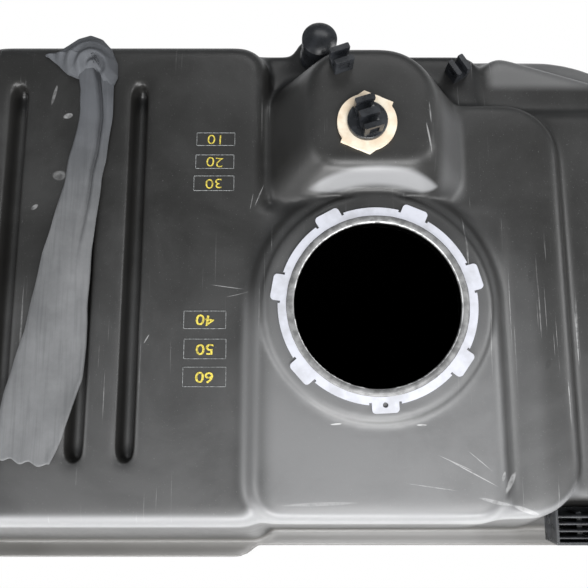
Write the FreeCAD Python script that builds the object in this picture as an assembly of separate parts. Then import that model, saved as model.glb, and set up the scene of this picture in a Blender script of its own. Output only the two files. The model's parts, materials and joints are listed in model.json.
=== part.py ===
import FreeCAD, Part
import math
import os

Vector = FreeCAD.Vector

# Car fuel tank of blow-moulded plastic, in millimetres.
# X runs along the car's width, Y to the rear shelf side, Z up.
# The origin is under the middle of the whole part, on the floor it rests on.

# Body
flange_left = -360.0
flange_right = 320.0
flange_near = -229.5
flange_far = 229.5
flange_step = 9.0
flange_step_x = -75.0
flange_width = 14.0
flange_thickness = 5.0
flange_corner = 62.0
rear_right_corner = 150.0
seam_height = 100.0
wall = 4.5
bottom_draft = 15.0
bottom_edge = 20.0

# Moulded levels, each from the one that carries it
deck_rise = 90.0
plateau_rise = 12.0
mid_panel_drop = 2.0
outer_panel_drop = 16.0
rear_shelf_drop = 20.0
low_shelf_drop = 40.0
lobe_rise = 16.0
lobe_turn = -17.0
dome_rise = 60.0
top_edge = 13.0
join_radius = 6.0
shortest_join = 6.0
plain_join_drop = 8.0
deck_height = seam_height + deck_rise
plateau_height = deck_height + plateau_rise
mid_panel_height = deck_height - mid_panel_drop
outer_panel_height = deck_height - outer_panel_drop
rear_shelf_height = deck_height - rear_shelf_drop
low_shelf_height = deck_height - low_shelf_drop
lobe_height = low_shelf_height + lobe_rise
dome_height = rear_shelf_height + dome_rise

# Pump opening and its steel ring
pump_x = 15.0
pump_y = -26.5
pump_radius = 63.0
neck_wall = 5.0
neck_depth = 16.0
seat_radius = 86.0
seat_rise = 5.5
neck_rise = 4.0
seat_height = plateau_height + seat_rise
neck_top = seat_height + neck_rise
ring_gap = 0.3
ring_thickness = 2.0
ring_width = 7.0
lug_reach = 5.5
lug_width = 20.0
lug_count = 7
lug_turn = 273.0
lug_hole = 2.0
relief_width = 2.0

# Deck grooves
groove_width = 12.0
groove_depth = 18.0
groove_near = -144.0
groove_far = 162.0
groove_places = [-276.0, -214.5, -176.0]

# Straps pass under the tank in two channels
strap_places = [-190.0, 170.0]
strap_width = 44.0
strap_depth = 5.0

# Vent valve on the dome
valve_x = 7.0
valve_y = 108.5
valve_flange_radius = 22.5
valve_flange_thickness = 3.0
valve_hole = 17.0
valve_neck_depth = 7.0
valve_gap = 0.3
housing_radius = 13.0
housing_wall = 2.0
housing_depth = 42.0
housing_lip = 15.2
lip_thickness = 1.5
roof_thickness = 2.5
orifice_radius = 2.5
valve_cap_thickness = 2.5
valve_cap_turn = -72.0
float_gap = 0.7
float_length = 16.0
float_cone = 6.0
float_travel = 5.0
base_thickness = 2.0
spring_wire = 0.8
spring_turns = 4.0

# Pipe clips
clip_width = 15.0
clip_base = 3.0
jaw_height = 12.0
jaw_wall = 3.2
pipe_radius = 4.0
jaw_mouth = 6.0
dome_clip_x = -12.0
dome_clip_y = 157.0
dome_clip_turn = -70.0
shelf_clip_x = 92.0
shelf_clip_y = 182.0
shelf_clip_turn = 32.0

# Stub with its cap, and breather nipple, on the rear shelf
stub_x = -27.0
stub_y = 195.5
stub_radius = 11.0
stub_wall = 3.0
stub_height = 30.0
stub_boss_radius = 22.0
stub_boss_rise = 2.0
cap_wall = 3.2
cap_gap = 0.3
cap_skirt = 1.5
cap_crown = 5.0
nipple_x = 37.0
nipple_y = 188.5
nipple_radius = 4.0
nipple_wall = 2.0
nipple_height = 14.0
nipple_barb = 1.2
nipple_foot = 5.5
foot_thickness = 2.0

# Ribbed line clip on the near wall
line_clip_left = 152.0
line_clip_right = 194.0
line_clip_setback = 23.5
line_clip_depth = 46.0
line_clip_drop = 26.0
line_clip_rise = 20.0
line_clip_front = flange_near + line_clip_setback
line_clip_back = line_clip_front + line_clip_depth
line_clip_floor = outer_panel_height - line_clip_drop
frame_wall = 2.0
frame_rise = 24.0
slat_count = 4
slat_thickness = 2.0
slat_pitch = 5.2
slat_gap = 0.3

# Filler inlet at the right end
filler_y = 10.0
filler_rise = 36.0
filler_z = seam_height + filler_rise
filler_radius = 24.0
filler_wall = 3.0
filler_reach = 40.0
filler_end = flange_right + filler_reach
filler_bead = 1.5
bead_land = 6.0
bead_slope = 3.0
filler_flange_radius = 31.0
filler_flange_thickness = 4.0
filler_inside = 25.0
filler_boss_setback = 13.0
filler_boss_face = flange_right - filler_boss_setback
filler_boss_rim = 3.0
flap_thickness = 2.5
flap_gap = 0.3
hinge_pin_radius = 1.5
hinge_bore_gap = 0.08
knuckle_radius = 3.2
knuckle_length = 10.0
hinge_rise = 3.6
ear_thickness = 3.0
ear_spread = 21.0
ear_reach = 3.0
ear_radius = 3.4
hinge_spring_radius = 2.4
hinge_spring_turns = 4.0

# Foam strip laid over the second groove, with its end bunched up at the far edge
strip_thickness = 3.5
strip_gap = 0.3
strip_far = 170.0
strip_near = -147.0
strip_bunch_length = 62.0
strip_bunch_width = 34.0
strip_bunch_height = 12.0
strip_bunch_x = -226.0
strip_bunch_y = 184.0


def outline(z, left, near, right, far, radii):
    """Closed wire of a rectangle whose four corners have their own radii."""
    corners = [(left, near, 1, 1), (right, near, -1, 1), (right, far, -1, -1), (left, far, 1, -1)]
    points = []
    for (x, y, sx, sy), radius in zip(corners, radii):
        lean = radius * (1.0 - math.sqrt(0.5))
        along_x = Vector(x + sx * radius, y, z)
        along_y = Vector(x, y + sy * radius, z)
        middle = Vector(x + sx * lean, y + sy * lean, z)
        first, last = (along_y, along_x) if sx * sy > 0 else (along_x, along_y)
        points.append((first, middle, last))
    edges = []
    for index, (first, middle, last) in enumerate(points):
        edges.append(Part.Arc(first, middle, last).toShape())
        following = points[(index + 1) % 4][0]
        edges.append(Part.LineSegment(last, following).toShape())
    return Part.Wire(edges)


def edges_at(solid, z):
    """Edges of a solid that lie wholly in the level plane at z."""
    box_edges = [edge for edge in solid.Edges if abs(edge.BoundBox.ZMin - z) < 1e-4]
    return [edge for edge in box_edges if abs(edge.BoundBox.ZMax - z) < 1e-4]


def moulded_block(sections, edge_radius, inset):
    """Block lofted through its level sections, with a rounded top edge.

    With an inset it is the hollow inside the same block's wall."""
    wires = []
    for z, left, near, right, far, radii in sections:
        top = z - inset if z == sections[-1][0] else z
        inner = [max(radius - inset, 1.5) for radius in radii]
        wires.append(outline(top, left + inset, near + inset, right - inset, far - inset, inner))
    block = Part.makeLoft(wires, True, True)
    return block.makeFillet(edge_radius - inset, edges_at(block, sections[-1][0] - inset))


def upper_blocks(inset):
    """The raised blocks of the upper half, each from the seam up to its own level."""
    near = flange_near + flange_width
    near_right = near + flange_step
    far = flange_far - flange_width
    left = flange_left + flange_width
    right = flange_right - flange_width
    corner = rear_right_corner - flange_width
    blocks = []
    # left deck
    blocks.append(moulded_block([
        (seam_height, left, near, pump_x - 78, far, [48, 20, 30, 48]),
        (deck_height, left + 16, near + 28, pump_x - 86, far - 18, [40, 16, 24, 40]),
    ], top_edge, inset))
    # saddle between the left deck and the right panel, under the pump plateau
    blocks.append(moulded_block([
        (seam_height, pump_x - 190, near_right, pump_x + 120, pump_y + 100, [20, 20, 20, 20]),
        (deck_height, pump_x - 180, near_right + 24, pump_x + 112, pump_y + 84, [16, 16, 16, 16]),
    ], top_edge, inset))
    # pump plateau, straight to the near edge and round behind the opening
    blocks.append(moulded_block([
        (seam_height, pump_x - 100, near_right, pump_x + 100, pump_y + 104, [20, 20, 96, 96]),
        (deck_height - 8, pump_x - 108, near_right + 18, pump_x + 106, pump_y + 112, [30, 30, 104, 104]),
        (plateau_height, pump_x - 91, near_right + 24, pump_x + 91, pump_y + 95, [22, 22, 90, 90]),
    ], 9.0, inset))
    # mid panel to the right of the plateau
    blocks.append(moulded_block([
        (seam_height, pump_x + 40, near_right, pump_x + 166, pump_y + 186, [20, 44, 40, 20]),
        (mid_panel_height, pump_x + 50, near_right + 24, pump_x + 154, pump_y + 172, [16, 40, 44, 16]),
    ], 8.0, inset))
    # lower outer panel at the right end
    blocks.append(moulded_block([
        (seam_height, pump_x + 80, near_right, right, pump_y + 188, [20, 48, 76, 20]),
        (outer_panel_height, pump_x + 90, near_right + 36, right - 14, pump_y + 172, [16, 40, 70, 16]),
    ], 11.0, inset))
    # rear shelf behind the dome
    blocks.append(moulded_block([
        (seam_height, pump_x - 130, pump_y + 30, pump_x + 106, far, [20, 20, 24, 20]),
        (rear_shelf_height, pump_x - 120, pump_y + 40, pump_x + 100, far - 16, [16, 16, 18, 16]),
    ], 8.0, inset))
    # low shelf at the right rear corner
    blocks.append(moulded_block([
        (seam_height, pump_x + 60, pump_y + 50, right, far, [20, 20, corner, 20]),
        (low_shelf_height, pump_x + 70, pump_y + 60, right - 8, far - 10, [16, 16, corner - 8, 16]),
    ], 9.0, inset))
    # lobe that rises from the low shelf and runs along the slanted rear corner
    lobe = moulded_block([
        (seam_height + 10, pump_x + 100, pump_y + 150, pump_x + 236, far - 4, [16, 16, 30, 20]),
        (lobe_height, pump_x + 112, pump_y + 166, pump_x + 226, far - 12, [10, 10, 24, 16]),
    ], 7.0, inset)
    lobe.rotate(Vector(pump_x + 112, far, 0), Vector(0, 0, 1), lobe_turn)
    blocks.append(lobe)
    # dome that carries the vent valve
    blocks.append(moulded_block([
        (rear_shelf_height - 20, pump_x - 108, pump_y + 60, pump_x + 100, pump_y + 207, [30, 30, 70, 60]),
        (dome_height, pump_x - 50, pump_y + 103, pump_x + 43, pump_y + 200, [24, 22, 42, 34]),
    ], 12.0, inset))
    return blocks


def lower_block(inset):
    """The lower half, drafted in to a flat bottom with a rounded edge."""
    left = flange_left + flange_width + inset
    right = flange_right - flange_width - inset
    near = flange_near + flange_width + inset
    far = flange_far - flange_width - inset
    corner = flange_corner - flange_width - inset
    corners = [corner, corner, rear_right_corner - flange_width - inset, corner]
    draft = bottom_draft
    upper = outline(seam_height, left, near, right, far, corners)
    lower = outline(inset, left + draft, near + draft, right - draft, far - draft, corners)
    block = Part.makeLoft([lower, upper], True, True)
    return block.makeFillet(bottom_edge - inset, edges_at(block, inset))


def seam_flange():
    """Flat pinch flange all round the seam, with its step on the near side."""
    low = seam_height - flange_thickness / 2
    inner_near = flange_near + flange_step
    corner = flange_corner
    main = Part.Face(outline(low, flange_left, inner_near, flange_right, flange_far,
                             [corner, corner, rear_right_corner, corner]))
    step = Part.Face(outline(low, flange_left, flange_near, flange_step_x, 0, [corner, 24, 10, 10]))
    plate = main.fuse(step).removeSplitter()
    return plate.extrude(Vector(0, 0, flange_thickness))


def groove_bar(x, grow):
    """Round-ended bar that stands for one deck groove, grown for the wall under it."""
    half = groove_width / 2 + grow
    low = deck_height - groove_depth - grow
    bar = Part.Face(outline(low, x - half, groove_near - grow, x + half, groove_far + grow,
                            [half - 0.01] * 4))
    return bar.extrude(Vector(0, 0, groove_depth + grow + 20))


def strap_bar(x, grow):
    """Bar across the bottom that stands for one strap channel."""
    half = strap_width / 2 + grow
    depth = flange_far - flange_near
    top = strap_depth + grow
    foot = [Vector(x - half - 5, flange_near, -1), Vector(x + half + 5, flange_near, -1),
            Vector(x + half, flange_near, top), Vector(x - half, flange_near, top)]
    return Part.Face(Part.makePolygon(foot + foot[:1])).extrude(Vector(0, depth, 0))


def column(x, y, low, high, radius):
    """Upright cylinder between two heights."""
    return Part.makeCylinder(radius, high - low, Vector(x, y, low))


def cone(x, y, low, high, low_radius, high_radius):
    """Upright cone frustum between two heights."""
    return Part.makeCone(low_radius, high_radius, high - low, Vector(x, y, low))


def fuse_all(solids):
    """One solid from several that overlap."""
    return solids[0].fuse(solids[1:]).removeSplitter()


def is_crowded(point):
    """Whether a join is near the deck's level, or at the dome's left foot, where blends would meet."""
    beside_dome = point.x < pump_x - 80 and point.y < pump_y + 184
    high = point.z > deck_height - plain_join_drop
    return high or (beside_dome and point.z > rear_shelf_height + 1)


def hollow_edges(solid):
    """Edges above the seam where two outer faces meet in a hollow corner."""
    found = []
    for edge in solid.Edges:
        faces = solid.ancestorsOfType(edge, Part.Face)
        above = edge.BoundBox.ZMin > seam_height + flange_thickness
        if not above or edge.Length < shortest_join or len(faces) != 2:
            continue
        middle = (edge.FirstParameter + edge.LastParameter) / 2
        point = edge.valueAt(middle)
        normals = [face.normalAt(*face.Surface.parameter(point)) for face in faces]
        if normals[0].getAngle(normals[1]) < 0.15 or is_crowded(point):
            continue
        aside = edge.tangentAt(middle).cross(normals[0]) * 0.4
        probes = [point + aside + normals[0] * 0.05, point - aside + normals[0] * 0.05]
        if any(solid.isInside(probe, 1e-6, False) for probe in probes):
            found.append(edge)
    return found


def blended(solid, edges):
    """The solid with these edges rounded, or None where their blends run into each other."""
    try:
        rounded = solid.makeFillet(join_radius, edges)
    except Part.OCCError:
        return None
    return rounded if rounded.isValid() else None


def soft_joins(solid):
    """Round the hollow joins between the blocks, as a blown wall bends, batch by batch."""
    best, kept = solid, []
    batches = [hollow_edges(solid)]
    while batches:
        batch = batches.pop(0)
        trial = blended(solid, kept + batch)
        if trial:
            best = trial
            kept = kept + batch
        elif len(batch) > 1:
            half = len(batch) // 2
            batches = [batch[:half], batch[half:]] + batches
    return best


def outer_form():
    """Outside of the shell as one closed solid, before the grooves and the pipe stubs."""
    seat = cone(pump_x, pump_y, plateau_height - 6, seat_height, seat_radius + 6, seat_radius)
    return soft_joins(fuse_all(upper_blocks(0.0) + [lower_block(0.0), seam_flange(), seat]))


def tank_shell(outer):
    """The blow-moulded shell: one wall all round, open at its neck, stub, nipple and inlet."""
    hollow = fuse_all(upper_blocks(wall) + [lower_block(wall)])
    for x in groove_places:
        outer = outer.cut(groove_bar(x, 0.0))
        hollow = hollow.cut(groove_bar(x, wall))
    for x in strap_places:
        outer = outer.cut(strap_bar(x, 0.0))
        hollow = hollow.cut(strap_bar(x, wall))
    boss = filler_flange_radius + filler_boss_rim
    hollow = hollow.fuse(rod(filler_boss_face - 40, filler_boss_face - wall, boss - wall))
    # neck of the pump opening, foot of the stub, and boss of the filler inlet
    neck_radius = pump_radius + neck_wall
    shelf = rear_shelf_height
    outer = outer.fuse([
        column(pump_x, pump_y, seat_height - 2, neck_top, neck_radius),
        column(stub_x, stub_y, seam_height, shelf + stub_boss_rise, stub_boss_radius),
        column(stub_x, stub_y, shelf, shelf + stub_height, stub_radius),
        rod(filler_boss_face - 40, filler_boss_face, boss),
    ])
    shell = outer.cut(hollow)
    shell = shell.fuse(column(pump_x, pump_y, neck_top - neck_depth, neck_top - 1, neck_radius))
    openings = [
        column(pump_x, pump_y, neck_top - neck_depth - 20, neck_top + 1, pump_radius),
        column(valve_x, valve_y, dome_height - 20, dome_height + 1, valve_hole),
        column(stub_x, stub_y, shelf - 20, shelf + stub_height + 1, stub_radius - stub_wall),
        column(nipple_x, nipple_y, shelf - 20, shelf + 1, nipple_radius),
        rod(filler_boss_face - 60, filler_boss_face + 1, filler_radius + valve_gap),
    ]
    return shell.cut(openings).removeSplitter()


def rod(start, end, radius):
    """Cylinder along the filler inlet's level axis, between two places in X."""
    return Part.makeCylinder(radius, end - start, Vector(start, filler_y, filler_z), Vector(1, 0, 0))


def slab(left, near, low, right, far, high):
    """Box between two corners."""
    return Part.makeBox(right - left, far - near, high - low, Vector(left, near, low))


def turned(profile, x, y, z):
    """Solid turned about an upright axis from (radius, height) points."""
    points = [Vector(radius, 0, height) for radius, height in profile]
    face = Part.Face(Part.makePolygon(points + points[:1]))
    solid = face.revolve(Vector(0, 0, 0), Vector(0, 0, 1), 360)
    return solid.translated(Vector(x, y, z))


def pump_ring():
    """Stamped steel ring with seven lugs, each between two relief slits."""
    inner = pump_radius + neck_wall + ring_gap
    rim = inner + ring_width
    low = seat_height
    ring = column(pump_x, pump_y, low, low + ring_thickness, rim)
    lug = slab(inner + 2, -lug_width / 2, low, rim + lug_reach, lug_width / 2, low + ring_thickness)
    tips = [edge for edge in lug.Edges if edge.BoundBox.XMin > rim + lug_reach - 0.1
            and edge.BoundBox.ZLength > 1]
    lug = lug.makeFillet(3.0, tips)
    slit = slab(rim - 2.5, lug_width / 2, low - 1, rim + 9, lug_width / 2 + relief_width,
                low + ring_thickness + 1)
    slits = slit.fuse(slit.mirror(Vector(0, 0, 0), Vector(0, 1, 0)))
    hole = Part.makeCylinder(lug_hole, 9, Vector(rim - 0.5, 0, low - 3))
    centre = Vector(pump_x, pump_y, 0)
    for index in range(lug_count):
        angle = lug_turn + index * 360.0 / lug_count
        placed = [shape.translated(centre) for shape in (slits, lug, hole)]
        for shape in placed:
            shape.rotate(centre, Vector(0, 0, 1), angle)
        ring = ring.cut(placed[0]).fuse(placed[1])
        if index == 0:
            ring = ring.cut(placed[2])
    return ring.cut(column(pump_x, pump_y, low - 1, low + 9, inner)).removeSplitter()


def valve_flange():
    """Weld-on disc of the vent valve, with two saw-tooth corners and a short neck."""
    low = dome_height
    high = low + valve_flange_thickness
    disc = column(0, 0, low, high, valve_flange_radius)
    reach = valve_flange_radius + 2.6
    tooth_points = [(-8.0, 20.5), (-1.8, reach), (20.0, 15.6), (18.0, 10.5), (0.0, 0.0)]
    corners = [Vector(x, y, low) for x, y in tooth_points]
    tooth = Part.Face(Part.makePolygon(corners + corners[:1]))
    tooth = tooth.extrude(Vector(0, 0, valve_flange_thickness))
    opposite = tooth.copy()
    opposite.rotate(Vector(0, 0, 0), Vector(0, 0, 1), 180)
    neck = column(0, 0, low - valve_neck_depth, low, valve_hole - valve_gap)
    solid = disc.fuse([tooth, opposite, neck]).removeSplitter()
    solid = solid.cut(column(0, 0, low - 20, high + 1, housing_radius + valve_gap))
    return solid.translated(Vector(valve_x, valve_y, 0)).removeSplitter()


def housing_top():
    """Height of the housing's top face, where the cap lies."""
    return dome_height + valve_flange_thickness + lip_thickness


def housing_bottom():
    """Height of the housing's open lower end."""
    return dome_height - housing_depth


def valve_housing():
    """Cup that hangs mouth down in the flange by its lip, with the vent orifice in its roof."""
    top = housing_top()
    low = housing_bottom()
    inner = housing_radius - housing_wall
    under_lip = top - lip_thickness
    return turned([
        (orifice_radius, top), (housing_lip, top), (housing_lip, under_lip),
        (housing_radius, under_lip), (housing_radius, low), (inner, low),
        (inner, top - roof_thickness - 2), (orifice_radius + 2, top - roof_thickness),
        (orifice_radius, top - roof_thickness),
    ], valve_x, valve_y, 0)


def valve_base():
    """Slotted disc pressed into the housing's lower end, which carries the spring."""
    low = housing_bottom()
    radius = housing_radius - housing_wall
    base = column(valve_x, valve_y, low, low + base_thickness, radius)
    for index in range(4):
        slot = column(valve_x + radius * 0.62, valve_y, low - 1, low + base_thickness + 1, 2.2)
        slot.rotate(Vector(valve_x, valve_y, 0), Vector(0, 0, 1), 45 + 90 * index)
        base = base.cut(slot)
    return base.cut(column(valve_x, valve_y, low - 1, low + 9, 1.5))


def float_top():
    """Height of the float's tip at rest, one travel below the orifice."""
    return housing_top() - roof_thickness - float_travel - valve_gap


def valve_float():
    """Hollow-bottomed float with a cone tip that shuts the orifice when it rises."""
    radius = housing_radius - housing_wall - float_gap
    tip = float_top()
    shoulder = tip - float_cone
    low = shoulder - float_length
    return turned([
        (0, tip), (orifice_radius - 0.4, tip), (radius - 2, shoulder + 1), (radius, shoulder),
        (radius, low), (radius - 2, low), (radius - 3, low + 8), (0, low + 8),
    ], valve_x, valve_y, 0)


def coil(radius, wire, length, turns):
    """Round-wire helix about the Z axis, starting at height zero."""
    helix = Part.makeHelix(length / turns, length, radius)
    circle = Part.Circle(Vector(radius, 0, 0), Vector(0, 1, 0), wire / 2)
    section = Part.Wire([circle.toShape()])
    return Part.Wire(helix.Edges).makePipeShell([section], True, True)


def valve_spring():
    """Light coil spring between the base and the roof of the float's recess."""
    low = housing_bottom() + base_thickness + valve_gap + spring_wire / 2
    seat = float_top() - float_cone - float_length + 8
    length = seat - low - valve_gap - spring_wire / 2
    spring = coil(5.0, spring_wire, length, spring_turns)
    return spring.translated(Vector(valve_x, valve_y, low))


def pipe_clip(seats):
    """Row of open pipe seats with spring jaws, standing on the origin, pipes along Y."""
    pitch = 2 * pipe_radius + jaw_wall
    length = seats * pitch + jaw_wall
    body = slab(-length / 2, -clip_width / 2, 0, length / 2, clip_width / 2, clip_base + jaw_height)
    upright = [edge for edge in body.Edges if edge.BoundBox.ZLength > jaw_height]
    body = body.makeFillet(1.2, upright)
    axis_height = clip_base + pipe_radius + 0.6
    for index in range(seats):
        x = (index - (seats - 1) / 2) * pitch
        seat = Part.makeCylinder(pipe_radius, clip_width + 2, Vector(x, -clip_width / 2 - 1, axis_height),
                                 Vector(0, 1, 0))
        mouth = slab(x - jaw_mouth / 2, -clip_width, axis_height, x + jaw_mouth / 2, clip_width, 40)
        body = body.cut(seat.fuse(mouth))
    side = slab(-length, -clip_width / 4, clip_base + 2, length, clip_width / 4, clip_base + jaw_height - 3)
    keep = slab(-length / 2 + 1.6, -clip_width, 0, length / 2 - 1.6, clip_width, 40)
    return body.cut(side.cut(keep))


def placed_clip(seats, turn, x, y, z):
    """Pipe clip turned about its own upright axis and stood at a place."""
    clip = pipe_clip(seats)
    clip.rotate(Vector(0, 0, 0), Vector(0, 0, 1), turn)
    return clip.translated(Vector(x, y, z))


def valve_cap():
    """Cap of the vent valve, one moulding with a two-pipe clip."""
    low = housing_top()
    cap = column(valve_x, valve_y, low, low + valve_cap_thickness, housing_lip)
    cap = cap.makeFillet(1.0, edges_at(cap, low + valve_cap_thickness))
    clip = placed_clip(2, valve_cap_turn, valve_x, valve_y, low + valve_cap_thickness - 1.5)
    return cap.fuse(clip).removeSplitter()


def stub_cap():
    """Closed push-on cap with a domed top and a flared skirt over the moulded stub."""
    foot = rear_shelf_height + stub_boss_rise + cap_gap
    bore = stub_radius + cap_gap
    outside = bore + cap_wall
    roof = rear_shelf_height + stub_height + cap_gap
    shoulder = roof + 1.0
    crown = shoulder + cap_crown
    ball = (outside ** 2 + cap_crown ** 2) / (2 * cap_crown)
    half_turn = math.asin(outside / ball) / 2
    lines = [Vector(0, 0, roof), Vector(bore, 0, roof), Vector(bore, 0, foot),
             Vector(outside + cap_skirt, 0, foot), Vector(outside + cap_skirt, 0, foot + 2),
             Vector(outside, 0, foot + 6), Vector(outside, 0, shoulder)]
    edges = [Part.LineSegment(a, b).toShape() for a, b in zip(lines, lines[1:])]
    bulge = Vector(ball * math.sin(half_turn), 0, crown - ball * (1 - math.cos(half_turn)))
    edges.append(Part.Arc(lines[-1], bulge, Vector(0, 0, crown)).toShape())
    edges.append(Part.LineSegment(Vector(0, 0, crown), lines[0]).toShape())
    solid = Part.Face(Part.Wire(edges)).revolve(Vector(0, 0, 0), Vector(0, 0, 1), 360)
    return solid.translated(Vector(stub_x, stub_y, 0))


def breather_nipple():
    """Small hose nipple with a barb, welded to the rear shelf by its foot."""
    foot = rear_shelf_height
    bore = nipple_radius - nipple_wall
    top = foot + nipple_height
    return turned([
        (bore, foot - wall), (nipple_radius - cap_gap, foot - wall), (nipple_radius - cap_gap, foot),
        (nipple_foot, foot), (nipple_foot, foot + foot_thickness),
        (nipple_radius, foot + foot_thickness), (nipple_radius, top - 7),
        (nipple_radius + nipple_barb, top - 6), (nipple_radius + nipple_barb, top - 2.5),
        (nipple_radius - 0.4, top), (bore, top),
    ], nipple_x, nipple_y, 0)


def line_clip_frame(outer_wall):
    """Open frame of the line clip, seated against the sloping near wall."""
    low = line_clip_floor
    frame = slab(line_clip_left, line_clip_front, low, line_clip_right, line_clip_back, low + frame_rise)
    inside = slab(line_clip_left + frame_wall, line_clip_front + frame_wall, low + frame_wall,
                  line_clip_right - frame_wall, line_clip_back, low + frame_rise + 1)
    return frame.cut(inside).cut(outer_wall)


def line_clip(outer_wall):
    """Comb of upright slats on a floor plate, dropped into the frame."""
    gap = slat_gap
    low = line_clip_floor + frame_wall
    left = line_clip_left + frame_wall + gap
    right = line_clip_right - frame_wall - gap
    front = line_clip_front + frame_wall + gap
    comb = slab(left, front, low, right, line_clip_back, low + 3)
    for index in range(slat_count):
        y = front + 1.5 + index * slat_pitch
        slat = slab(left, y, low + 2, right, y + slat_thickness, low + line_clip_rise)
        tops = [edge for edge in edges_at(slat, low + line_clip_rise) if edge.BoundBox.XLength > 10]
        comb = comb.fuse(slat.makeFillet(0.9, tops))
    spine = slab((left + right) / 2 - 2, front + 1.5, low + 2, (left + right) / 2 + 2,
                 front + slat_pitch * slat_count, low + line_clip_rise - 6)
    return comb.fuse(spine).cut(outer_wall).removeSplitter()


def filler_spigot():
    """Welded filler pipe with its hose bead, weld flange and two hinge ears inside."""
    face = filler_boss_face
    inner_end = face - filler_inside
    parts = [
        rod(inner_end, filler_end, filler_radius),
        rod(face, face + filler_flange_thickness, filler_flange_radius),
    ]
    parts.append(hose_bead())
    pin_x, pin_z = hinge_place()
    for side in (-1, 1):
        middle = filler_y + side * ear_spread / 2
        left = middle - ear_thickness / 2
        right = middle + ear_thickness / 2
        outer_end = inner_end + ear_reach
        parts.append(slab(inner_end, left, filler_z + filler_radius * 0.8, outer_end, right, pin_z))
        parts.append(slab(pin_x - ear_radius + 1, left, pin_z - ear_radius + 0.4,
                          outer_end, right, pin_z + ear_radius))
    spigot = fuse_all(parts)
    spigot = spigot.cut(rod(inner_end - 30, filler_end + 1, filler_radius - filler_wall))
    return spigot.cut(hinge_rod(ear_spread + 20, hinge_pin_radius)).removeSplitter()


def hose_bead():
    """Raised band near the pipe's open end, sloped on both sides, that keeps the hose on."""
    crest = filler_radius + filler_bead
    land_end = filler_end - bead_slope
    land_start = land_end - bead_land
    axis = Vector(1, 0, 0)
    rise = Part.makeCone(filler_radius, crest, bead_slope,
                         Vector(land_start - bead_slope, filler_y, filler_z), axis)
    fall = Part.makeCone(crest, filler_radius, bead_slope, Vector(land_end, filler_y, filler_z), axis)
    return rise.fuse([rod(land_start, land_end, crest), fall])


def hinge_place():
    """X and Z of the flap's hinge axis, above and behind the pipe's inner end."""
    inner_end = filler_boss_face - filler_inside
    return inner_end - flap_gap - knuckle_radius, filler_z + filler_radius + hinge_rise


def hinge_rod(length, radius):
    """Cylinder of a given length centred on the flap's hinge axis."""
    pin_x, pin_z = hinge_place()
    start = Vector(pin_x, filler_y - length / 2, pin_z)
    return Part.makeCylinder(radius, length, start, Vector(0, 1, 0))


def flap_pin():
    """Hinge pin that sits in the two ears."""
    return hinge_rod(ear_spread + ear_thickness, hinge_pin_radius)


def inlet_flap():
    """Check flap that hangs over the pipe's inner end, with its knuckle."""
    face = filler_boss_face - filler_inside - flap_gap
    pin_x, pin_z = hinge_place()
    disc = rod(face - flap_thickness, face, filler_radius - 0.8)
    rib = rod(face - flap_thickness - 1.5, face - flap_thickness + 0.5, filler_radius * 0.55)
    rib = rib.cut(rod(face - 20, face, filler_radius * 0.45))
    arm = slab(face - flap_thickness, filler_y - knuckle_length / 2, filler_z,
               face, filler_y + knuckle_length / 2, pin_z)
    flap = disc.fuse([rib, arm, hinge_rod(knuckle_length, knuckle_radius)])
    return flap.cut(hinge_rod(ear_spread, hinge_pin_radius + hinge_bore_gap)).removeSplitter()


def flap_spring():
    """Torsion coil on the hinge pin, between the knuckle and one ear."""
    pin_x, pin_z = hinge_place()
    start = knuckle_length / 2 + 0.6 + spring_wire / 2
    end = ear_spread / 2 - ear_thickness / 2 - 0.6 - spring_wire / 2
    spring = coil(hinge_spring_radius, spring_wire, end - start, hinge_spring_turns)
    spring.rotate(Vector(0, 0, 0), Vector(1, 0, 0), -90)
    return spring.translated(Vector(pin_x, filler_y + start, pin_z))


def through(points, z):
    """Smooth edge through level points at one height."""
    curve = Part.BSplineCurve()
    curve.interpolate([Vector(x, y, z) for x, y in points])
    return curve.toShape()


def foam_strip():
    """Grey foam strip: a band that widens towards the near side, bunched at its far end."""
    low = deck_height + strip_gap
    second = groove_places[1]
    left = [(second - 12, strip_far), (second - 10, strip_far - 45), (second - 21, 68.0),
            (second - 40, -20.0), (second - 54, -96.0), (second - 62, strip_near + 8)]
    right = [(second - 15, strip_near), (second - 2, -102.0), (second + 5, -30.0), (second + 8, 50.0),
             (second + 18, 126.0), (second + 17, strip_far)]
    sides = [through(left, low), through(right, low)]
    sides.insert(1, Part.LineSegment(Vector(*left[-1], low), Vector(*right[0], low)).toShape())
    sides.append(Part.LineSegment(Vector(*right[-1], low), Vector(*left[0], low)).toShape())
    band = Part.Face(Part.Wire(sides)).extrude(Vector(0, 0, strip_thickness))
    return band.fuse(strip_bunch(low)).removeSplitter()


def strip_bunch(low):
    """Folded end of the strip, pointed to the left, lofted so that its sides bulge and close in."""
    rim = [(-0.98, 0.05), (-0.4, 0.45), (0.2, 0.95), (0.72, 0.6), (1.0, -0.3), (0.75, -0.95),
           (0.1, -0.8), (-0.5, -0.55)]
    levels = [(0.95, 0.0), (1.0, 0.4), (0.93, 0.8), (0.75, 1.0)]
    rings = []
    for share, height in levels:
        half_length = share * strip_bunch_length / 2
        half_width = share * strip_bunch_width / 2
        z = low + height * strip_bunch_height
        curve = Part.BSplineCurve()
        curve.interpolate([Vector(strip_bunch_x + u * half_length, strip_bunch_y + v * half_width, z)
                           for u, v in rim], PeriodicFlag=True)
        rings.append(Part.Wire([curve.toShape()]))
    return Part.makeLoft(rings, True, False)


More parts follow.
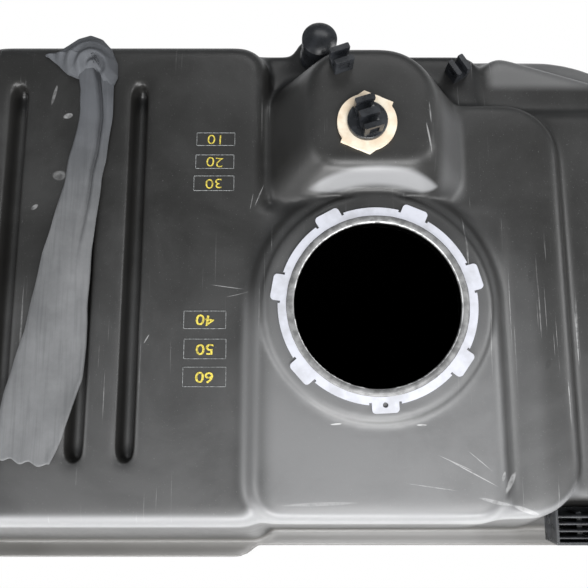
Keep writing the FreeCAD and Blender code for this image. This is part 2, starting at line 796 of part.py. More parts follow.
os.makedirs("parts", exist_ok=True)
form = outer_form()
pieces = {
    "tank_shell": tank_shell(form),
    "pump_ring": pump_ring(),
    "valve_flange": valve_flange(),
    "valve_housing": valve_housing(),
    "valve_base": valve_base(),
    "valve_float": valve_float(),
    "valve_spring": valve_spring(),
    "valve_cap": valve_cap(),
    "dome_pipe_clip": placed_clip(1, dome_clip_turn, dome_clip_x, dome_clip_y, dome_height),
    "shelf_pipe_clip": placed_clip(1, shelf_clip_turn, shelf_clip_x, shelf_clip_y, rear_shelf_height),
    "stub_cap": stub_cap(),
    "breather_nipple": breather_nipple(),
    "line_clip_frame": line_clip_frame(form),
    "line_clip": line_clip(form),
    "filler_spigot": filler_spigot(),
    "inlet_flap": inlet_flap(),
    "flap_pin": flap_pin(),
    "flap_spring": flap_spring(),
    "foam_strip": foam_strip(),
}
for name, shape in pieces.items():
    shape.exportStep("parts/" + name + ".step")
    print(name, shape.isValid(), len(shape.Solids), round(shape.Volume, 1))
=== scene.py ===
import json
import math
import random

import bmesh
import bpy
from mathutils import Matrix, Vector


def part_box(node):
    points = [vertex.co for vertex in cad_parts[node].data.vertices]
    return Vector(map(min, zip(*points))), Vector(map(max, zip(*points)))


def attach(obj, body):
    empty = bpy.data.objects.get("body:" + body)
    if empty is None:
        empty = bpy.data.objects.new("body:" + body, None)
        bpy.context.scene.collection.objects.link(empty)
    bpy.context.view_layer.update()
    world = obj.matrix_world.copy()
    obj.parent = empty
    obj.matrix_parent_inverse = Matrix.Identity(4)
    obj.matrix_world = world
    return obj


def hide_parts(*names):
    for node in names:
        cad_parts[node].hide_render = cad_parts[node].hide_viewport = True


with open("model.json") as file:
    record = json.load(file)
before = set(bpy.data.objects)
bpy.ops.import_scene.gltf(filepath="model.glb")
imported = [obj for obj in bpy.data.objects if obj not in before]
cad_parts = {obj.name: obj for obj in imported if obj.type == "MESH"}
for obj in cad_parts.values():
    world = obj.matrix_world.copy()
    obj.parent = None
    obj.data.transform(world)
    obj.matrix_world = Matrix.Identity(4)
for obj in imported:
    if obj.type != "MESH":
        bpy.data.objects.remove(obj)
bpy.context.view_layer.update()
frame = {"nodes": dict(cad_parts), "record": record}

BODY = "tank"
CRISP_SMOOTH = 35.0
BROAD_SMOOTH = 60.0
random.seed(7)

# Places on the tank, in metres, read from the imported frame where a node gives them
shell_low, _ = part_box("tank_shell")
_, ring_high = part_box("pump_ring")
PUMP = Vector((0.015, -0.0265, ring_high.z))
DECK = 0.190


# Small tools

def deselect():
    """Clears the selection."""
    bpy.ops.object.select_all(action="DESELECT")


def make_active(piece):
    """Selects one object alone."""
    deselect()
    bpy.context.view_layer.objects.active = piece
    piece.select_set(True)


def apply_modifier(piece, kind, **settings):
    """Adds a modifier with its settings and applies it."""
    modifier = piece.modifiers.new(kind.title(), kind)
    for name, value in settings.items():
        setattr(modifier, name, value)
    make_active(piece)
    bpy.ops.object.modifier_apply(modifier=modifier.name)


def settle(piece):
    """Moves an object's place and turn into its mesh."""
    make_active(piece)
    bpy.ops.object.transform_apply(location=True, rotation=True, scale=True)


def finish_piece(piece, slot, material, *nodes, body=BODY, smooth=CRISP_SMOOTH):
    """Shades a piece, gives it its material and says what it rides on and replaces."""
    piece.data.materials.clear()
    piece.data.materials.append(material)
    make_active(piece)
    bpy.ops.object.shade_smooth_by_angle(angle=math.radians(smooth))
    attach(piece, body)
    if nodes:
        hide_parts(*nodes)


# Material tools

class Shader:
    """A material's node tree, built up a node at a time."""

    def __init__(self, name):
        self.material = bpy.data.materials.new(name)
        self.material.use_nodes = True
        self.tree = self.material.node_tree
        self.tree.nodes.clear()
        self.output = self.tree.nodes.new("ShaderNodeOutputMaterial")
        self.surface = self.tree.nodes.new("ShaderNodeBsdfPrincipled")
        self.link(self.surface, "BSDF", self.output, "Surface")
        self.place = self.tree.nodes.new("ShaderNodeTexCoord")

    def link(self, source, output, target, socket):
        self.tree.links.new(source.outputs[output], target.inputs[socket])

    def wire(self, value, target, socket):
        """Links a node's output or sets a plain value."""
        if isinstance(value, bpy.types.NodeSocket):
            self.tree.links.new(value, target.inputs[socket])
        else:
            target.inputs[socket].default_value = value

    def math(self, operation, first, second=0.0, clamp=False):
        node = self.tree.nodes.new("ShaderNodeMath")
        node.operation = operation
        node.use_clamp = clamp
        self.wire(first, node, 0)
        self.wire(second, node, 1)
        return node.outputs[0]

    def times(self, *values):
        """Product of several values."""
        total = values[0]
        for value in values[1:]:
            total = self.math("MULTIPLY", total, value)
        return total

    def strongest(self, *values):
        """Largest of several values."""
        most = values[0]
        for value in values[1:]:
            most = self.math("MAXIMUM", most, value)
        return most

    def mapped(self, scale=(1, 1, 1), turn=(0, 0, 0), move=(0, 0, 0)):
        """Object coordinates, moved, turned and scaled."""
        node = self.tree.nodes.new("ShaderNodeMapping")
        node.inputs["Location"].default_value = move
        node.inputs["Rotation"].default_value = turn
        node.inputs["Scale"].default_value = scale
        self.link(self.place, "Object", node, "Vector")
        return node.outputs[0]

    def noise(self, scale, detail=4.0, rough=0.55, where=None, distortion=0.0):
        node = self.tree.nodes.new("ShaderNodeTexNoise")
        node.inputs["Scale"].default_value = scale
        node.inputs["Detail"].default_value = detail
        node.inputs["Roughness"].default_value = rough
        node.inputs["Distortion"].default_value = distortion
        if where is None:
            self.link(self.place, "Object", node, "Vector")
        else:
            self.wire(where, node, "Vector")
        return node.outputs["Fac"]

    def ramp(self, value, low, high, start=0.0, end=1.0):
        """Smooth step of a value between two limits."""
        node = self.tree.nodes.new("ShaderNodeMapRange")
        node.interpolation_type = "SMOOTHSTEP"
        self.wire(value, node, "Value")
        limits = {"From Min": low, "From Max": high, "To Min": start, "To Max": end}
        for socket, number in limits.items():
            node.inputs[socket].default_value = number
        return node.outputs["Result"]

    def mix(self, amount, first, second):
        node = self.tree.nodes.new("ShaderNodeMix")
        node.data_type = "RGBA"
        self.wire(amount, node, 0)
        self.wire(first, node, 6)
        self.wire(second, node, 7)
        return node.outputs[2]

    def axis(self, name):
        """One object coordinate, X, Y or Z, in metres."""
        node = self.tree.nodes.new("ShaderNodeSeparateXYZ")
        self.link(self.place, "Object", node, "Vector")
        return node.outputs[name]

    def normal(self, name):
        """One component of the surface's own normal."""
        node = self.tree.nodes.new("ShaderNodeSeparateXYZ")
        self.link(self.place, "Normal", node, "Vector")
        return node.outputs[name]

    def bump(self, height, distance, strength=1.0):
        node = self.tree.nodes.new("ShaderNodeBump")
        node.inputs["Strength"].default_value = strength
        node.inputs["Distance"].default_value = distance
        self.wire(height, node, "Height")
        self.link(node, "Normal", self.surface, "Normal")

    def paint(self, color, rough, metal=0.0, specular=0.5):
        self.wire(color, self.surface, "Base Color")
        self.wire(rough, self.surface, "Roughness")
        self.surface.inputs["Metallic"].default_value = metal
        self.surface.inputs["Specular IOR Level"].default_value = specular
        return self.material


def grey(level, blue=0.0):
    """Linear colour a little blue or warm."""
    return (level, level + blue * 0.3, level + blue, 1.0)


def streak_mask(shader, turn, across, along, low, high, move):
    """Fine straight scratches in one direction."""
    where = shader.mapped(scale=(across, along, along), turn=(0, 0, turn), move=move)
    return shader.ramp(shader.noise(1.0, detail=2.0, rough=0.4, where=where), low, high)


SPOT_EDGE = 1.5
SPOT_RAGGED = 1.1


def spot(shader, cloud, x, y, length, width, turn, soft):
    """Mask of a ragged oval mark on the top, in millimetres and degrees."""
    u = shader.math("SUBTRACT", shader.axis("X"), x / 1000)
    v = shader.math("SUBTRACT", shader.axis("Y"), y / 1000)
    c, s = math.cos(math.radians(turn)), math.sin(math.radians(turn))
    along = shader.math("ADD", shader.times(u, c), shader.times(v, s))
    across = shader.math("SUBTRACT", shader.times(v, c), shader.times(u, s))
    along = shader.math("POWER", shader.math("DIVIDE", along, length / 2000), 2.0)
    across = shader.math("POWER", shader.math("DIVIDE", across, width / 2000), 2.0)
    reach = shader.math("ADD", shader.math("ADD", along, across), shader.times(cloud, SPOT_RAGGED))
    return shader.ramp(reach, SPOT_EDGE, SPOT_EDGE - soft)


def marks(shader, cloud, rows, soft):
    """Mask of all the marks in a list, each at its own strength."""
    return shader.strongest(*[
        shader.times(spot(shader, cloud, x, y, length, width, turn, soft), strength)
        for x, y, length, width, turn, strength in rows])


# Marks on the shell: x, y, length, width, turn and strength, in millimetres and degrees
PALE_MARKS = [
    (-233.6, 133.2, 9, 5, 20, 0.45), (-237.6, 81.9, 12, 9, 0, 0.25),
    (-255.8, 55.3, 7, 4, 40, 0.30), (-246.0, 152.0, 20, 3, 78, 0.25),
    (-162.0, -50.6, 9, 1.2, 60, 0.40), (-17.0, -115.2, 10, 1.6, 4, 0.75),
    (46.0, -115.8, 9, 1.6, 0, 0.7), (112.0, -157.5, 20, 6, 52, 0.40),
    (105.5, -152.5, 8, 3, 70, 0.40), (100.0, -171.0, 34, 3, -14, 0.3),
    (125.0, -178.5, 26, 4, -20, 0.35), (82.0, -150.0, 44, 1.0, -28, 0.5),
    (70.0, -143.0, 30, 0.8, -24, 0.4), (88.0, -141.5, 24, 0.8, -40, 0.4),
    (52.0, -160.0, 40, 0.8, -8, 0.35), (-76.0, 66.0, 22, 0.9, 70, 0.4),
    (-82.0, 60.0, 15, 0.7, 80, 0.35), (-100.0, -10.0, 28, 0.8, -8, 0.35),
    (-92.0, -16.0, 20, 0.7, 12, 0.3), (-30.0, -172.0, 60, 3, 2, 0.2),
    (54.0, 98.0, 26, 1.6, -80, 0.45), (55.5, 118.0, 18, 1.4, -86, 0.35),
]
DARK_MARKS = [
    (139.0, 0.5, 15, 6, 80, 0.45), (165.0, -33.0, 12, 7, 70, 0.45), (148.0, -70.0, 10, 5, 65, 0.4),
]
PALE_SOFTNESS = 0.5
DARK_SOFTNESS = 0.8

# Fine scratches: turn, scale across, scale along, low and high threshold, and move
SCRATCHES = [
    (0.35, 520.0, 9.0, 0.70, 0.74, (0.3, 0.1, 0.0)),
    (-0.9, 610.0, 12.0, 0.71, 0.75, (1.3, 2.1, 0.4)),
    (1.45, 450.0, 8.0, 0.71, 0.75, (4.3, 0.7, 1.4)),
]
SCRATCH_STRENGTH = 0.5

# Painted highlight bowed over the dome's front: its middle, and how fast it curves back
SHEEN_X = 0.016
SHEEN_Y = 0.0715
SHEEN_BOW = 3.6


def painted_sheen_mask(shader, x, y, facing_up, cloud):
    """Painted sheen over the raised middle, lighter to the near side, and faint on deck and
    panels.
    """
    middle = shader.times(shader.ramp(x, -0.085, -0.060), shader.ramp(x, 0.135, 0.100),
                          shader.ramp(y, 0.10, -0.13), 0.80)
    deck = shader.times(shader.ramp(y, 0.06, -0.17), 0.24)
    panel = shader.times(shader.ramp(x, 0.095, 0.112), shader.ramp(x, 0.150, 0.135),
                         shader.ramp(y, 0.08, -0.06), 0.22)
    sheen_amount = shader.strongest(middle, shader.math("ADD", deck, panel))
    return shader.times(sheen_amount, facing_up, shader.ramp(cloud, 0.2, 0.62, 0.72, 1.0))


def pale_mask(shader, z, facing_up, ragged):
    """Scratches, in patches, and the pale marks, all on the top only."""
    scratches = shader.strongest(*[streak_mask(shader, *row) for row in SCRATCHES])
    patch = shader.ramp(shader.noise(5.0, detail=3.0), 0.45, 0.62)
    scratches = shader.times(scratches, patch, facing_up, SCRATCH_STRENGTH)
    pale = shader.strongest(scratches, marks(shader, ragged, PALE_MARKS, PALE_SOFTNESS))
    return shader.times(pale, shader.ramp(z, 0.150, 0.165),
                        shader.ramp(ragged, 0.30, 0.58, 0.25, 1.0))


def painted_highlight_mask(shader, x, y, z):
    """Painted highlights: a bowed pale line on the dome's front and a band on its right flank."""
    from_middle = shader.math("SUBTRACT", x, SHEEN_X)
    bow = shader.times(shader.math("POWER", from_middle, 2.0), SHEEN_BOW)
    line = shader.math("ADD", shader.math("SUBTRACT", y, SHEEN_Y), bow)
    front = shader.times(shader.ramp(line, 0.0062, 0.0022), shader.ramp(line, -0.0075, -0.0030),
                         shader.ramp(shader.math("ABSOLUTE", from_middle), 0.058, 0.042),
                         shader.ramp(z, 0.203, 0.206))
    flank = shader.times(shader.ramp(x, 0.060, 0.072), shader.ramp(x, 0.094, 0.082),
                         shader.ramp(y, 0.055, 0.075), shader.ramp(y, 0.150, 0.120), 0.32)
    return shader.strongest(front, flank)


def place_tones(shader, base, x, y, z):
    """Paler edges and lobe and a darker shelf, painted where the photo has light and shade."""
    near_edge = shader.times(shader.ramp(shader.normal("Y"), -0.15, -0.55),
                             shader.ramp(z, 0.168, 0.178), shader.ramp(y, -0.13, -0.15), 0.75)
    base = shader.mix(near_edge, base, grey(0.20, 0.006))
    left_edge = shader.times(shader.ramp(shader.normal("X"), -0.10, -0.45),
                             shader.ramp(z, 0.188, 0.193), shader.ramp(y, 0.00, -0.05), 0.6)
    base = shader.mix(left_edge, base, grey(0.16, 0.003))
    lobe = shader.times(shader.ramp(y, 0.166, 0.176), shader.ramp(x, 0.116, 0.128), 0.75)
    base = shader.mix(lobe, base, grey(0.15))
    shelf = shader.times(shader.ramp(z, 0.180, 0.174), shader.ramp(y, 0.135, 0.150),
                         shader.ramp(x, 0.118, 0.108), 0.8)
    return shader.mix(shelf, base, grey(0.004))


def neck_tones(shader, base, from_pump, z, ragged):
    """Rubbed neck round the pump opening, with a pale lip."""
    neck = shader.times(shader.ramp(from_pump, 0.0690, 0.0680), shader.ramp(z, 0.2085, 0.2095))
    rubbed = shader.mix(shader.ramp(ragged, 0.35, 0.65), grey(0.105), grey(0.21))
    base = shader.mix(neck, base, rubbed)
    lip = shader.times(shader.ramp(from_pump, 0.0640, 0.0636), shader.ramp(z, 0.2095, 0.2105))
    return shader.mix(lip, base, grey(0.62))


def shell_plastic():
    """Black moulded plastic with a painted grey sheen on its raised middle, other painted
    highlights and shade, dust, scuffs and scratches.
    """
    shader = Shader("worn_black_plastic")
    x, y, z = shader.axis("X"), shader.axis("Y"), shader.axis("Z")
    facing_up = shader.ramp(shader.normal("Z"), 0.45, 0.95)
    cloud = shader.noise(9.0, detail=6.0, rough=0.62, distortion=0.4)
    ragged = shader.noise(160.0, detail=4.0, rough=0.6)
    fine = shader.noise(240.0, detail=3.0)
    dust = shader.times(shader.ramp(cloud, 0.38, 0.72), facing_up, 0.14)
    specks = shader.ramp(shader.noise(900.0, detail=2.0), 0.66, 0.75)
    pale = pale_mask(shader, z, facing_up, ragged)
    dark = marks(shader, ragged, DARK_MARKS, DARK_SOFTNESS)

    base = shader.mix(shader.ramp(cloud, 0.3, 0.7), grey(0.012, -0.001), grey(0.019, -0.001))
    base = shader.mix(dust, base, grey(0.08))
    # painted sheen, lighter over the raised middle and towards the near side
    base = shader.mix(painted_sheen_mask(shader, x, y, facing_up, cloud), base, grey(0.165, 0.003))
    # painted highlights on the dome's front and its right flank
    base = shader.mix(painted_highlight_mask(shader, x, y, z), base, grey(0.19, 0.006))
    base = place_tones(shader, base, x, y, z)
    base = shader.mix(dark, base, grey(0.018))
    base = shader.mix(shader.times(specks, facing_up, 0.3), base, grey(0.22))
    base = shader.mix(pale, base, grey(0.50))
    # painted reflection of the ground: a lighter brownish band on the seam flange
    rim = shader.times(shader.ramp(z, 0.112, 0.104), shader.ramp(z, 0.094, 0.098), 0.5)
    base = shader.mix(rim, base, (0.075, 0.070, 0.062, 1))
    from_pump = shader.math("SQRT", shader.math(
        "ADD", shader.math("POWER", shader.math("SUBTRACT", x, PUMP.x), 2.0),
        shader.math("POWER", shader.math("SUBTRACT", y, PUMP.y), 2.0)))
    base = neck_tones(shader, base, from_pump, z, ragged)
    # painted shade: the inside at the opening and the inner floor are made near-black and dull, so
    # that the opening shows dark
    opening = shader.times(shader.ramp(from_pump, 0.0634, 0.0630), shader.ramp(z, 0.2085, 0.2070))
    bottom = shader.times(shader.ramp(z, 0.030, 0.020), shader.ramp(shader.normal("Z"), 0.0, 0.5))
    inside = shader.strongest(opening, bottom)
    base = shader.mix(inside, base, (0.0004, 0.0004, 0.0004, 1))

    rough = shader.math("ADD", shader.ramp(cloud, 0.3, 0.75, 0.34, 0.46), shader.times(fine, 0.06))
    rough = shader.math("ADD", rough, shader.times(pale, 0.2))
    rough = shader.math("ADD", rough, shader.times(inside, 0.5), clamp=True)
    height = shader.math("ADD", shader.times(fine, 0.5), shader.times(cloud, 0.9))
    height = shader.math("SUBTRACT", height, shader.times(pale, 1.2))
    shader.bump(height, 0.00025, 0.55)
    material = shader.paint(base, rough)
    gloss = shader.math("SUBTRACT", 0.5, shader.times(inside, 0.5))
    shader.wire(gloss, shader.surface, "Specular IOR Level")
    return material


def ring_steel():
    """Pale plated steel, unevenly stained."""
    shader = Shader("pale_plated_steel")
    cloud = shader.noise(60.0, detail=5.0)
    fine = shader.noise(700.0, detail=2.0)
    color = shader.mix(shader.ramp(cloud, 0.35, 0.7), (0.60, 0.61, 0.67, 1),
                       (0.45, 0.455, 0.49, 1))
    shader.bump(fine, 0.0001, 0.3)
    return shader.paint(color, shader.ramp(cloud, 0.3, 0.7, 0.42, 0.58), metal=0.35)


def cream_plastic():
    """Cream plastic, yellowed in patches."""
    shader = Shader("cream_plastic")
    cloud = shader.noise(90.0, detail=5.0)
    color = shader.mix(shader.ramp(cloud, 0.35, 0.68), (0.78, 0.70, 0.57, 1),
                       (0.66, 0.54, 0.40, 1))
    shader.bump(shader.noise(500.0), 0.0001, 0.3)
    return shader.paint(color, 0.5)


def clip_plastic():
    """Glossy black plastic of the clips and caps."""
    shader = Shader("glossy_black_plastic")
    cloud = shader.noise(80.0, detail=4.0)
    color = shader.mix(shader.ramp(cloud, 0.4, 0.7), (0.010, 0.011, 0.013, 1),
                       (0.022, 0.024, 0.028, 1))
    shader.bump(shader.noise(900.0), 0.00008, 0.3)
    return shader.paint(color, shader.ramp(cloud, 0.3, 0.7, 0.22, 0.36))


def pale_plastic():
    """Natural plastic of the float and the flap."""
    shader = Shader("natural_plastic")
    cloud = shader.noise(70.0, detail=4.0)
    color = shader.mix(cloud, (0.72, 0.70, 0.64, 1), (0.58, 0.55, 0.48, 1))
    shader.bump(shader.noise(600.0), 0.0001, 0.3)
    return shader.paint(color, 0.45)


def spring_steel():
    """Bright drawn steel wire."""
    shader = Shader("drawn_steel")
    cloud = shader.noise(400.0, detail=3.0)
    color = shader.mix(cloud, (0.5, 0.5, 0.5, 1), (0.38, 0.38, 0.39, 1))
    return shader.paint(color, 0.3, metal=1.0)


def grey_foam():
    """Grey foam with fine pores and lengthwise streaks, darker at its far end."""
    shader = Shader("grey_foam")
    cloud = shader.noise(26.0, detail=6.0, rough=0.6)
    pores = shader.noise(1500.0, detail=2.0)
    lengthwise = shader.mapped(scale=(420.0, 16.0, 30.0), turn=(0, 0, -0.12))
    streaks = shader.noise(1.0, detail=3.0, where=lengthwise)
    far = shader.ramp(shader.axis("Y"), 0.02, 0.15)
    patch = shader.ramp(cloud, 0.3, 0.72)
    near_tone = shader.mix(patch, (0.150, 0.152, 0.156, 1), (0.105, 0.107, 0.110, 1))
    far_tone = shader.mix(patch, (0.080, 0.084, 0.092, 1), (0.055, 0.058, 0.064, 1))
    color = shader.mix(far, near_tone, far_tone)
    streaks = shader.times(shader.ramp(streaks, 0.45, 0.7), 0.25)
    color = shader.mix(streaks, color, (0.055, 0.057, 0.06, 1))
    shader.bump(shader.math("ADD", pores, shader.times(cloud, 2.0)), 0.0002, 0.6)
    return shader.paint(color, 0.8, specular=0.3)


materials = {
    "shell_plastic": shell_plastic(),
    "ring_steel": ring_steel(),
    "cream_plastic": cream_plastic(),
    "black_clip_plastic": clip_plastic(),
    "pale_plastic": pale_plastic(),
    "spring_steel": spring_steel(),
    "grey_foam": grey_foam(),
}


def dress_nodes():
    """Gives every carried-over node its own slot's material."""
    for entry in frame["record"]["subparts"]:
        node = frame["nodes"][entry["node"]]
        node.data.materials.clear()
        node.data.materials.append(materials[entry["material_slot"]])


# The shell, with the soft transitions of a blown moulding

SKIN_VOXEL = 0.0026
SKIN_TRIANGLES = 185000
SOFT_ABOVE = 0.125
SOFT_RISE = 0.02
SEAT_REACH = 0.094
SEAT_FADE = 0.012
EVEN_PASSES = 2
SOFT_PASSES = 24


def blend_weight(point):
    """How much a point is smoothed: not below the seam or at the ring's seat, fully on top."""
    from_pump = math.hypot(point.x - PUMP.x, point.y - PUMP.y)
    if point.z < SOFT_ABOVE:
        return 0.0
    weight = min(1.0, (point.z - SOFT_ABOVE) / SOFT_RISE)
    return weight * min(1.0, max(0.0, (from_pump - SEAT_REACH) / SEAT_FADE))


def shell_skin():
    """The shell with its sharp inner corners smoothed, as a blown wall has them."""
    node = frame["nodes"]["tank_shell"]
    skin = bpy.data.objects.new("shell_skin", node.data.copy())
    bpy.context.scene.collection.objects.link(skin)
    apply_modifier(skin, "WELD", merge_threshold=0.00001)
    apply_modifier(skin, "REMESH", mode="VOXEL", voxel_size=SKIN_VOXEL, adaptivity=0.0)
    group = skin.vertex_groups.new(name="soft")
    for vertex in skin.data.vertices:
        group.add([vertex.index], blend_weight(vertex.co), "REPLACE")
    apply_modifier(skin, "SMOOTH", factor=0.5, iterations=EVEN_PASSES)
    apply_modifier(skin, "SMOOTH", factor=0.5, iterations=SOFT_PASSES, vertex_group="soft")
    triangles = 2 * len(skin.data.polygons)
    if triangles > SKIN_TRIANGLES:
        apply_modifier(skin, "DECIMATE", ratio=SKIN_TRIANGLES / triangles)
    finish_piece(skin, "shell_plastic", materials["shell_plastic"], "tank_shell",
                 smooth=BROAD_SMOOTH)


# The foam strip, laid over the second groove and folded up at its far end

STRIP_GRID = (36, 150)
STRIP_LIFT = 0.0036
BAND_THICKNESS = 0.0032
FOLD_GRID = (128, 22)
FOLD_THICKNESS = 0.0030
FOLD_MIDDLE = (-0.214, 0.181)
FOLD_EYE = (-0.212, 0.172)
FOLD_RISE = 0.0150
FOLD_LIFT = 0.0008
LEFT_SIDE = [(-226.4, 172.0), (-223.4, 154.2), (-223.2, 137.5), (-224.7, 120.2), (-229.1, 98.8),
             (-231.7, 76.0), (-240.0, 44.6), (-246.1, 17.8), (-250.3, -11.7), (-255.9, -42.1),
             (-262.5, -66.6), (-268.0, -92.0), (-272.0, -122.0), (-276.5, -139.0)]
RIGHT_SIDE = [(-197.4, 172.0), (-195.9, 145.4), (-195.8, 126.2), (-199.0, 93.7), (-202.1, 76.0),
              (-203.9, 49.5), (-206.5, 23.4), (-208.2, -2.2), (-209.1, -27.4), (-207.9, -56.7),
              (-209.8, -82.5), (-216.2, -102.6), (-221.5, -125.1), (-229.5, -146.5)]


def along(side, share):
    """Point at a share of a side's list, in metres."""
    place = share * (len(side) - 1)
    index = min(int(place), len(side) - 2)
    part = place - index
    (ax, ay), (bx, by) = side[index], side[index + 1]
    return (ax + (bx - ax) * part) / 1000, (ay + (by - ay) * part) / 1000


def bell(value, middle, width):
    """Smooth hump of height one round a middle."""
    return math.exp(-((value - middle) / width) ** 2)


def strip_height(u, v):
    """Rise of the band's top over its own thickness, across (u) and along (v) its length."""
    far = 1.0 - v
    crown = 0.0050 * (1.0 - abs(2 * u - 0.75) ** 2.2) * (0.35 + 0.65 * far ** 1.5)
    furrow_place = 0.70 - 0.12 * bell(v, 0.0, 0.15)
    furrow = -0.0062 * bell(u, furrow_place, 0.055) * max(0.0, 1.0 - v / 0.55) ** 0.6
    second = 0.0034 * bell(u, 0.86, 0.10) * max(0.0, 1.0 - v / 0.62)
    ridge = 0.0016 * bell(u, 0.62, 0.20) * v
    wave = 0.0007 * math.sin(9.0 * v + 5.0 * u) + 0.0004 * math.sin(23.0 * v - 7.0 * u)
    edge = min(1.0, min(u, 1.0 - u) / 0.05)
    return (max(crown, 0.0) + furrow + second + ridge + wave) * edge


def lattice(name, columns, rows, place):
    """Open sheet of quads whose points a function places from two shares."""
    mesh = bmesh.new()
    grid = [[mesh.verts.new(place(i / columns, j / rows)) for i in range(columns + 1)]
            for j in range(rows + 1)]
    for j in range(rows):
        for i in range(columns):
            mesh.faces.new((grid[j][i], grid[j][i + 1], grid[j + 1][i + 1], grid[j + 1][i]))
    bmesh.ops.recalc_face_normals(mesh, faces=mesh.faces)
    data = bpy.data.meshes.new(name)
    mesh.to_mesh(data)
    mesh.free()
    piece = bpy.data.objects.new(name, data)
    bpy.context.scene.collection.objects.link(piece)
    return piece


def band_point(u, v):
    """Point of the band's top surface."""
    lx, ly = along(LEFT_SIDE, v)
    rx, ry = along(RIGHT_SIDE, v)
    ragged = 0.0004 * math.sin(23.0 * v) + 0.0002 * math.sin(61.0 * v)
    x = lx + (rx - lx) * u + ragged * (2 * u - 1)
    y = ly + (ry - ly) * u
    end = max(0.0, (v - 0.97) / 0.03)
    y += 0.0015 * end * math.sin(21.0 * u)
    return Vector((x, y, DECK + STRIP_LIFT + strip_height(u, v)))


FOLD_RIM = [(-257.0, 187.0), (-246.0, 189.0), (-238.0, 193.0), (-228.0, 200.0), (-217.0, 203.5),
            (-207.0, 200.0), (-199.0, 191.0), (-193.5, 178.0), (-193.0, 166.0), (-197.0, 156.0),
            (-203.0, 158.0), (-208.0, 170.0), (-216.0, 168.0), (-226.0, 164.0), (-236.0, 168.0),
            (-246.0, 178.0)]


def rim_point(share):
    """Point on the fold's closed outline, in metres."""
    place = (share % 1.0) * len(FOLD_RIM)
    index = int(place) % len(FOLD_RIM)
    part = place - int(place)
    ax, ay = FOLD_RIM[index]
    bx, by = FOLD_RIM[(index + 1) % len(FOLD_RIM)]
    return (ax + (bx - ax) * part) / 1000, (ay + (by - ay) * part) / 1000


def fold_point(u, v):
    """Point of the fold's surface: round its outline (u) and in from the rim (v)."""
    rx, ry = rim_point(u)
    cx, cy = FOLD_MIDDLE
    share = math.sin(v * math.pi / 2)
    x, y = rx + (cx - rx) * share, ry + (cy - ry) * share
    rise = math.sqrt(max(0.0, 1.0 - (1.0 - v) ** 2.2))
    from_eye = math.hypot(x - FOLD_EYE[0], (y - FOLD_EYE[1]) * 1.1)
    crease = 0.0022 * math.sin(from_eye * 640.0) * bell(v, 0.45, 0.35)
    tail = bell(x, -0.249, 0.010)
    top = FOLD_RISE * rise * (1.0 - 0.45 * tail) + crease
    return Vector((x, y, DECK + FOLD_LIFT + top))


def foam():
    """The band and its folded end, joined as one padded piece over the deck."""
    band = lattice("foam_band", *STRIP_GRID, band_point)
    apply_modifier(band, "SOLIDIFY", thickness=BAND_THICKNESS, offset=-1.0)
    fold = lattice("foam_fold", *FOLD_GRID, fold_point)
    apply_modifier(fold, "WELD", merge_threshold=0.0002)
    apply_modifier(fold, "SOLIDIFY", thickness=FOLD_THICKNESS, offset=-1.0)
    deselect()
    fold.select_set(True)
    band.select_set(True)
    bpy.context.view_layer.objects.active = band
    bpy.ops.object.join()
    band.name = "foam_strip_cover"
    apply_modifier(band, "SUBSURF", levels=1)
    finish_piece(band, "grey_foam", materials["grey_foam"], "foam_strip", smooth=BROAD_SMOOTH)


# Date frames moulded into the deck, with wax-crayon figures: left, right, far, near, figures

FRAME_LINE = 0.00035
FRAME_SUNK = 0.0002
FRAME_PROUD = 0.00022
FIGURE_SIZE = 0.0115
FIGURE_STRETCH = 1.25
FIGURE_TILT = 8
FIRST_BOLD = 3
FRAMES = [(-127.4, -96.1, 118.5, 107.3, "10"), (-127.8, -96.6, 99.5, 87.6, "20"),
          (-128.9, -96.3, 81.6, 68.9, "30"), (-133.8, -100.8, -28.8, -42.9, "40"),
          (-133.1, -100.3, -50.7, -66.2, "50"), (-133.3, -100.0, -72.3, -87.5, "60")]


def plain_paint(name, color, rough):
    """Slightly uneven paint of one colour."""
    shader = Shader(name)
    cloud = shader.noise(600.0, detail=3.0)
    darker = tuple(part * 0.45 for part in color[:3]) + (1,)
    return shader.paint(shader.mix(shader.ramp(cloud, 0.42, 0.62), color, darker), rough)


def frame_outline(index, left, right, far, near):
    """Thin raised outline of one date frame."""
    mesh = bmesh.new()
    line = FRAME_LINE
    low, high = DECK - FRAME_SUNK, DECK + FRAME_PROUD
    x0, x1, y0, y1 = left / 1000, right / 1000, near / 1000, far / 1000
    bars = [(x0, y0, x1, y0 + line), (x0, y1 - line, x1, y1), (x0, y0, x0 + line, y1),
            (x1 - line, y0, x1, y1)]
    for ax, ay, bx, by in bars:
        cube = bmesh.ops.create_cube(mesh, size=1.0)["verts"]
        bmesh.ops.scale(mesh, verts=cube, vec=(bx - ax, by - ay, high - low))
        bmesh.ops.translate(mesh, verts=cube, vec=((ax + bx) / 2, (ay + by) / 2, (low + high) / 2))
    data = bpy.data.meshes.new("date_frame")
    mesh.to_mesh(data)
    mesh.free()
    piece = bpy.data.objects.new(f"date_frame_{index}", data)
    bpy.context.scene.collection.objects.link(piece)
    return piece


def figures(index, text, left, right, far, near):
    """Crayon figures inside one date frame, upside down to the camera."""
    data = bpy.data.curves.new("figures", "FONT")
    data.body = text
    data.size = FIGURE_SIZE
    data.align_x = "CENTER"
    data.align_y = "CENTER"
    data.extrude = 0.0001
    data.offset = 0.00012 if index >= FIRST_BOLD else -0.0001
    piece = bpy.data.objects.new(f"crayon_{index}", data)
    bpy.context.scene.collection.objects.link(piece)
    piece.location = ((left + right) / 2000, (near + far) / 2000, DECK + 0.00025)
    piece.rotation_euler = (0, 0, math.radians(180 + random.uniform(-FIGURE_TILT, FIGURE_TILT)))
    piece.scale = (FIGURE_STRETCH, 1.0, 1.0)
    make_active(piece)
    bpy.ops.object.convert(target="MESH")
    piece = bpy.context.object
    settle(piece)
    return piece


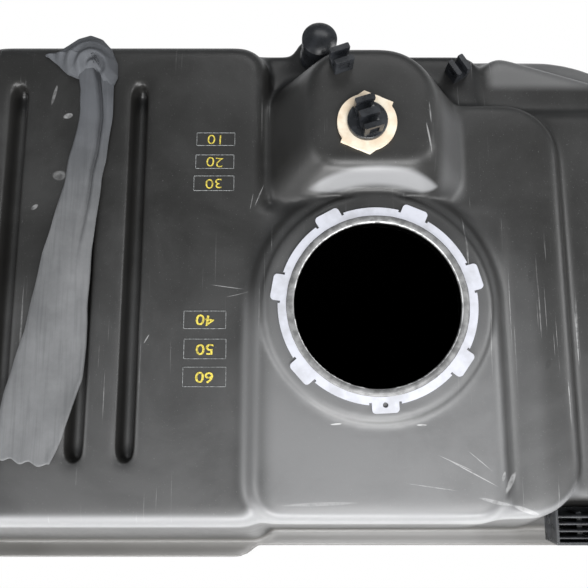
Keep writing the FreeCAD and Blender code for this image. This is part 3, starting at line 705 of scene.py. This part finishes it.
def date_marks():
    """All the frames joined as one piece and all the figures as another."""
    outline = plain_paint("moulded_outline", (0.30, 0.31, 0.31, 1), 0.5)
    crayon = plain_paint("yellow_crayon", (0.62, 0.50, 0.07, 1), 0.7)
    frames, drawn = [], []
    for index, (left, right, far, near, text) in enumerate(FRAMES):
        frames.append(frame_outline(index, left, right, far, near))
        drawn.append(figures(index, text, left, right, far, near))
    for pieces, material in ((frames, outline), (drawn, crayon)):
        deselect()
        for piece in pieces:
            piece.select_set(True)
        bpy.context.view_layer.objects.active = pieces[0]
        bpy.ops.object.join()
        finish_piece(pieces[0], "shell_plastic", material)


# Stage, light and camera

CAMERA_FROM_PUMP = Vector((-0.063, -0.0773, 0.4814))
CAMERA_TILT = math.radians(10.0)
CAMERA_LENS = 39.8
FLOOR_SIZE = 8.0
FLOOR_DROP = 0.0005
WORLD_STRENGTH = 0.26

# Soft lamps: name, place, target, width, height and power
LAMPS = [
    ("key", (0.30, -0.95, 1.60), (0.0, -0.05, 0.15), 1.1, 0.8, 30.0),
    ("near_low", (-0.1, -1.4, 0.55), (0.0, 0.0, 0.15), 1.6, 0.5, 34.0),
    ("right", (1.3, 0.1, 0.9), (0.05, 0.0, 0.18), 0.8, 0.6, 9.0),
    ("left_low", (-1.2, -0.5, 0.7), (-0.05, -0.05, 0.18), 0.6, 0.5, 6.0),
    ("far", (0.2, 1.3, 1.4), (0.0, 0.1, 0.15), 1.2, 0.5, 6.0),
]


def stage():
    """White floor, pale world and soft lamps, most of them from the near side."""
    bpy.ops.mesh.primitive_plane_add(size=FLOOR_SIZE, location=(0, 0, shell_low.z - FLOOR_DROP))
    floor = bpy.context.object
    floor.name = "floor"
    settle(floor)
    shader = Shader("white_floor")
    shader.paint((0.9, 0.9, 0.9, 1), 0.9, specular=0.1)
    glow = shader.tree.nodes.new("ShaderNodeEmission")
    glow.inputs["Color"].default_value = (1, 1, 1, 1)
    rays = shader.tree.nodes.new("ShaderNodeLightPath")
    blend = shader.tree.nodes.new("ShaderNodeMixShader")
    shader.tree.links.new(rays.outputs["Is Camera Ray"], blend.inputs[0])
    shader.link(shader.surface, "BSDF", blend, 1)
    shader.link(glow, "Emission", blend, 2)
    shader.link(blend, "Shader", shader.output, "Surface")
    floor.data.materials.append(shader.material)
    world = bpy.data.worlds.new("studio")
    bpy.context.scene.world = world
    world.use_nodes = True
    backdrop = world.node_tree.nodes["Background"]
    backdrop.inputs["Color"].default_value = (0.9, 0.95, 1.0, 1)
    backdrop.inputs["Strength"].default_value = WORLD_STRENGTH
    for row in LAMPS:
        lamp(*row)


def lamp(name, place, target, width, height, power):
    """Soft area lamp aimed at a point."""
    data = bpy.data.lights.new(name, "AREA")
    data.shape = "RECTANGLE"
    data.size = width
    data.size_y = height
    data.energy = power
    piece = bpy.data.objects.new(name, data)
    piece.location = place
    aim = Vector(target) - Vector(place)
    piece.rotation_euler = aim.to_track_quat("-Z", "Y").to_euler()
    bpy.context.scene.collection.objects.link(piece)


def camera():
    """Camera close over the pump opening, at the photograph's height and tilt."""
    data = bpy.data.cameras.new("photo_camera")
    data.lens = CAMERA_LENS
    data.sensor_width = 36.0
    data.clip_start = 0.01
    piece = bpy.data.objects.new("photo_camera", data)
    piece.location = PUMP + CAMERA_FROM_PUMP
    piece.rotation_euler = (CAMERA_TILT, 0, 0)
    bpy.context.scene.collection.objects.link(piece)
    bpy.context.scene.camera = piece


camera()
stage()
dress_nodes()
shell_skin()
foam()
date_marks()
bpy.context.scene.view_settings.view_transform = "Standard"
